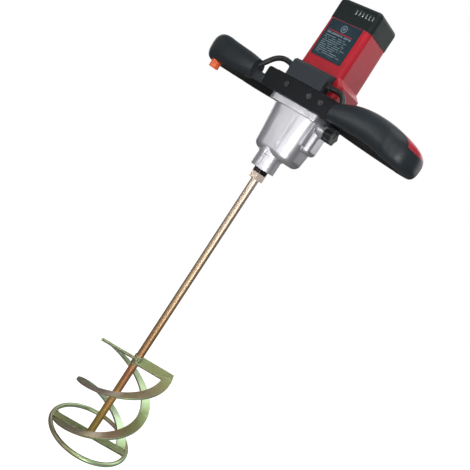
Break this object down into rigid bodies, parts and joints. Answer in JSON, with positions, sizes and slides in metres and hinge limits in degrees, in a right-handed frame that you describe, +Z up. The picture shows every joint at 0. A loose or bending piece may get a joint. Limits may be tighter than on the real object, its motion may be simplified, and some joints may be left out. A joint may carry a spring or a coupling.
{
  "type": "drill paint mixer",
  "caption": "Two-handled electric hand mixer with a geared spindle and a double-helix paddle for paint, plaster and mortar.",
  "frame": {"origin": "centre of the neck's lower face, on the spindle's axis", "axes": "+Z up the tool along the spindle, +X to the side the speed selector is on, -Y towards the front with the label"},
  "size_m": [0.4558, 0.16, 0.874],
  "materials": {
    "cast_aluminium": "satin cast aluminium",
    "bearing_steel": "ground steel",
    "seal_rubber": "matt rubber",
    "red_plastic": "glossy moulded plastic",
    "stator_steel": "laminated steel",
    "copper": "enamelled copper",
    "brush_plastic": "matt phenolic plastic",
    "cap_plastic": "textured charcoal plastic",
    "label": "printed film",
    "collar_plastic": "matt black plastic",
    "grip_plastic": "satin black plastic",
    "limb_plastic": "matt black plastic",
    "switch_plastic": "moulded plastic",
    "box_plastic": "charcoal plastic",
    "circuit_board": "lacquered board",
    "lead_rubber": "satin rubber",
    "screw_steel": "blackened steel",
    "spindle_steel": "blackened steel",
    "gear_steel": "hardened steel",
    "fan_plastic": "moulded plastic",
    "gold_zinc": "gold zinc plate",
    "olive_zinc": "iridescent olive zinc plate",
    "trigger_plastic": "matt black plastic",
    "lock_plastic": "orange plastic",
    "knob_plastic": "matt black plastic"
  },
  "bodies": {
    "housing": {"gearbox_housing": "cast_aluminium", "bearing_plate": "cast_aluminium", "neck_seal": "seal_rubber", "spindle_bearing_lower": "bearing_steel", "spindle_bearing_upper": "bearing_steel", "countershaft_bearing_lower": "bearing_steel", "countershaft_bearing_upper": "bearing_steel", "armature_bearing_lower": "bearing_steel", "armature_bearing_upper": "bearing_steel", "motor_housing": "red_plastic", "stator_core": "stator_steel", "field_coil_left": "copper", "field_coil_right": "copper", "brush_bridge": "brush_plastic", "motor_cap": "cap_plastic", "nameplate": "label", "handle_collar": "collar_plastic", "left_grip": "grip_plastic", "right_grip": "grip_plastic", "left_rear_limb": "limb_plastic", "right_rear_limb": "limb_plastic", "grip_accent": "red_plastic", "switch_body": "switch_plastic", "control_box": "box_plastic", "control_box_lid": "box_plastic", "control_board": "circuit_board", "gland_left": "lead_rubber", "gland_right": "lead_rubber", "left_lead": "lead_rubber", "right_lead": "lead_rubber", "cable_inlet": "lead_rubber", "collar_screw_1": "screw_steel", "collar_screw_2": "screw_steel", "collar_screw_3": "screw_steel", "flange_screw_1": "screw_steel", "flange_screw_2": "screw_steel", "flange_screw_3": "screw_steel", "flange_screw_4": "screw_steel"},
    "spindle": {"output_spindle": "spindle_steel", "output_gear": "gear_steel", "hex_collar": "gold_zinc", "mixing_shaft": "gold_zinc", "top_arm": "olive_zinc", "helical_blade_a": "olive_zinc", "helical_blade_b": "olive_zinc", "lower_bar": "olive_zinc", "mixing_ring": "olive_zinc"},
    "countershaft": {"countershaft": "gear_steel", "countershaft_wheel": "gear_steel"},
    "armature": {"armature_shaft": "gear_steel", "armature_core": "stator_steel", "commutator": "copper", "cooling_fan": "fan_plastic"},
    "trigger": {"trigger": "trigger_plastic"},
    "lock_button": {"lock_button": "lock_plastic"},
    "selector": {"selector_knob": "knob_plastic"}
  },
  "joints": [
    {"name": "spindle_spin", "type": "hinge", "parent": "housing", "child": "spindle", "pos_m": [0, 0, 0], "axis": [0, 0, 1], "continuous": true},
    {"name": "countershaft_spin", "type": "hinge", "parent": "housing", "child": "countershaft", "pos_m": [-0.01993, 0.01337, 0], "axis": [0, 0, 1], "continuous": true},
    {"name": "armature_spin", "type": "hinge", "parent": "housing", "child": "armature", "pos_m": [0, 0.02, 0], "axis": [0, 0, 1], "continuous": true},
    {"name": "trigger_pull", "type": "slide", "parent": "housing", "child": "trigger", "axis": [0, 0, 1], "range_m": [0, 0.004], "stiffness_N_per_m": 1500, "springref_m": -0.002},
    {"name": "lock_push", "type": "slide", "parent": "housing", "child": "lock_button", "axis": [0, 0, 1], "range_m": [0, 0.003], "stiffness_N_per_m": 900, "springref_m": -0.002},
    {"name": "selector_turn", "type": "hinge", "parent": "housing", "child": "selector", "pos_m": [0.06, 0.008, 0.104], "axis": [1, 0, 0], "range_deg": [0, 180]}
  ],
  "couplings": [
    {"joint": "countershaft_spin", "follows": "spindle_spin", "ratio": -3},
    {"joint": "armature_spin", "follows": "spindle_spin", "ratio": 12}
  ]
}
